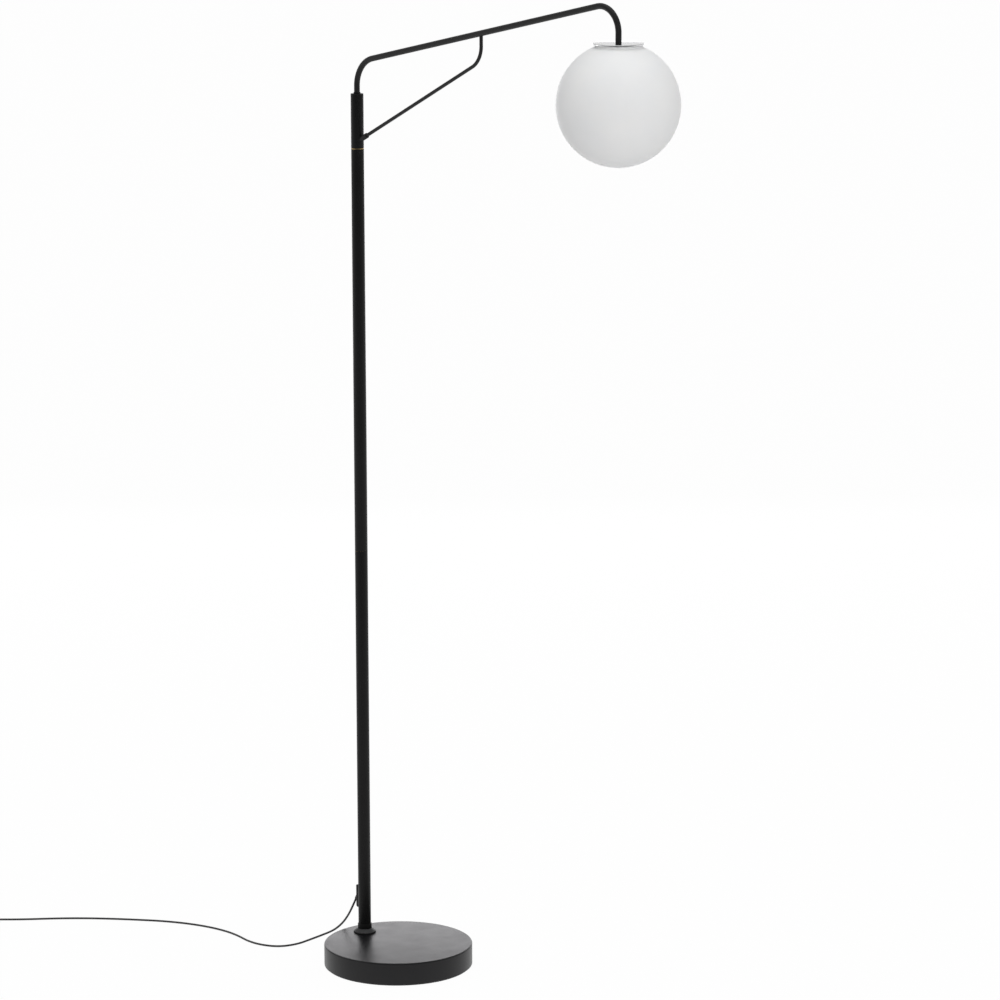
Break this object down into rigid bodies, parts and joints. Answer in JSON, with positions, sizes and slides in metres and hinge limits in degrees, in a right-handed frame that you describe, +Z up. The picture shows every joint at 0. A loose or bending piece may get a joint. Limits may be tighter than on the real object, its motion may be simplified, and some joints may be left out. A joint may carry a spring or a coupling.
{
  "type": "globe floor lamp",
  "caption": "Floor lamp: round weighted base, slim jointed pole, long bent arm with a brace rod, and an opal glass globe hung under a polished cap; lead with foot switch and plug.",
  "frame": {"origin": "centre of the base's underside, on the floor", "axes": "+Z up along the pole, +X out along the arm towards the globe, the arm, brace and globe lie in the XZ plane"},
  "size_m": [1.4996, 0.6215, 1.7026],
  "materials": {
    "black_moulding": "fine-textured black moulding",
    "black_rubber": "matt black elastomer",
    "bulb_nickel": "nickel-plated thin metal",
    "bulb_opal": "diffusing opal moulding",
    "bulb_white": "white heat-sink moulding",
    "cast_weight": "as-cast, lightly oiled",
    "clear_silicone": "translucent silicone",
    "felt_grey": "grey felt",
    "fitter_metal": "turned aluminium",
    "foot_grey": "satin dark grey coat",
    "glazed_black": "black glass insulator",
    "holder_ceramic": "fired white ceramic",
    "holder_moulding": "black heat-proof moulding",
    "lead_black": "smooth black lead sheath",
    "opal_glass": "matt-etched opal blown glass",
    "polished_cap": "mirror-polished chrome plate",
    "satin_black": "fine satin powder coat, near black",
    "turned_brass": "turned brass, lightly toned",
    "zinc_steel": "zinc-plated steel"
  },
  "bodies": {
    "stand": {"arm_collar": "satin_black", "arm_nipple": "zinc_steel", "arm_socket": "zinc_steel", "arm_tube": "satin_black", "base_ballast": "cast_weight", "base_cover": "satin_black", "base_pad": "black_rubber", "brace_ferrule": "satin_black", "brace_rod": "satin_black", "cable_grip": "black_moulding", "cable_inner": "lead_black", "cap_disc": "polished_cap", "cord_coil": "lead_black", "cord_end": "lead_black", "cord_lead": "lead_black", "cord_link": "lead_black", "cord_tie": "black_moulding", "coupling_bushes": "zinc_steel", "coupling_lower": "turned_brass", "coupling_upper": "turned_brass", "cover_pads": "felt_grey", "foot_bolt": "zinc_steel", "foot_flange": "foot_grey", "foot_gasket": "black_rubber", "foot_ring": "satin_black", "foot_washer": "zinc_steel", "globe_fitter": "fitter_metal", "holder_cap": "holder_moulding", "holder_insert": "holder_ceramic", "holder_screw_shell": "turned_brass", "holder_sleeve": "holder_moulding", "holder_tongue": "turned_brass", "nipple_nut": "zinc_steel", "nipple_washer": "zinc_steel", "outlet_plate": "black_moulding", "outlet_relief": "black_rubber", "outlet_screw": "zinc_steel", "plug_body": "black_moulding", "plug_pins": "bulb_nickel", "pole_end_plug": "satin_black", "pole_foot_insert": "zinc_steel", "pole_lower": "satin_black", "pole_middle": "satin_black", "pole_top": "satin_black", "switch_base": "black_moulding", "switch_block": "holder_ceramic", "switch_cover": "black_moulding", "switch_reliefs": "black_rubber", "switch_screws": "zinc_steel", "terminal_screws": "turned_brass"},
    "globe": {"globe_glass": "opal_glass", "globe_ring": "fitter_metal", "globe_seal": "clear_silicone"},
    "bulb_contact": {"bulb_tip": "bulb_nickel"},
    "bulb": {"bulb_insulator": "glazed_black", "bulb_screw_shell": "bulb_nickel", "bulb_housing": "bulb_white", "bulb_dome": "bulb_opal"},
    "foot_button": {"switch_button": "black_moulding"}
  },
  "joints": [
    {"name": "globe_lock", "type": "hinge", "parent": "stand", "child": "globe", "pos_m": [0.542, 0, 1.63], "axis": [0, 0, 1], "range_deg": [-60, 0]},
    {"name": "bulb_rise", "type": "slide", "parent": "stand", "child": "bulb_contact", "axis": [0, 0, -1], "range_m": [0, 0.01]},
    {"name": "bulb_turn", "type": "hinge", "parent": "bulb_contact", "child": "bulb", "pos_m": [0.542, 0, 1.58], "axis": [0, 0, -1], "range_deg": [0, 900]},
    {"name": "button_press", "type": "slide", "parent": "stand", "child": "foot_button", "axis": [0, 0, -1], "range_m": [0, 0.003], "stiffness_N_per_m": 1200, "springref_m": -0.002}
  ],
  "couplings": [
    {"joint": "bulb_rise", "follows": "bulb_turn", "m_per_rad": 0.00057773}
  ]
}
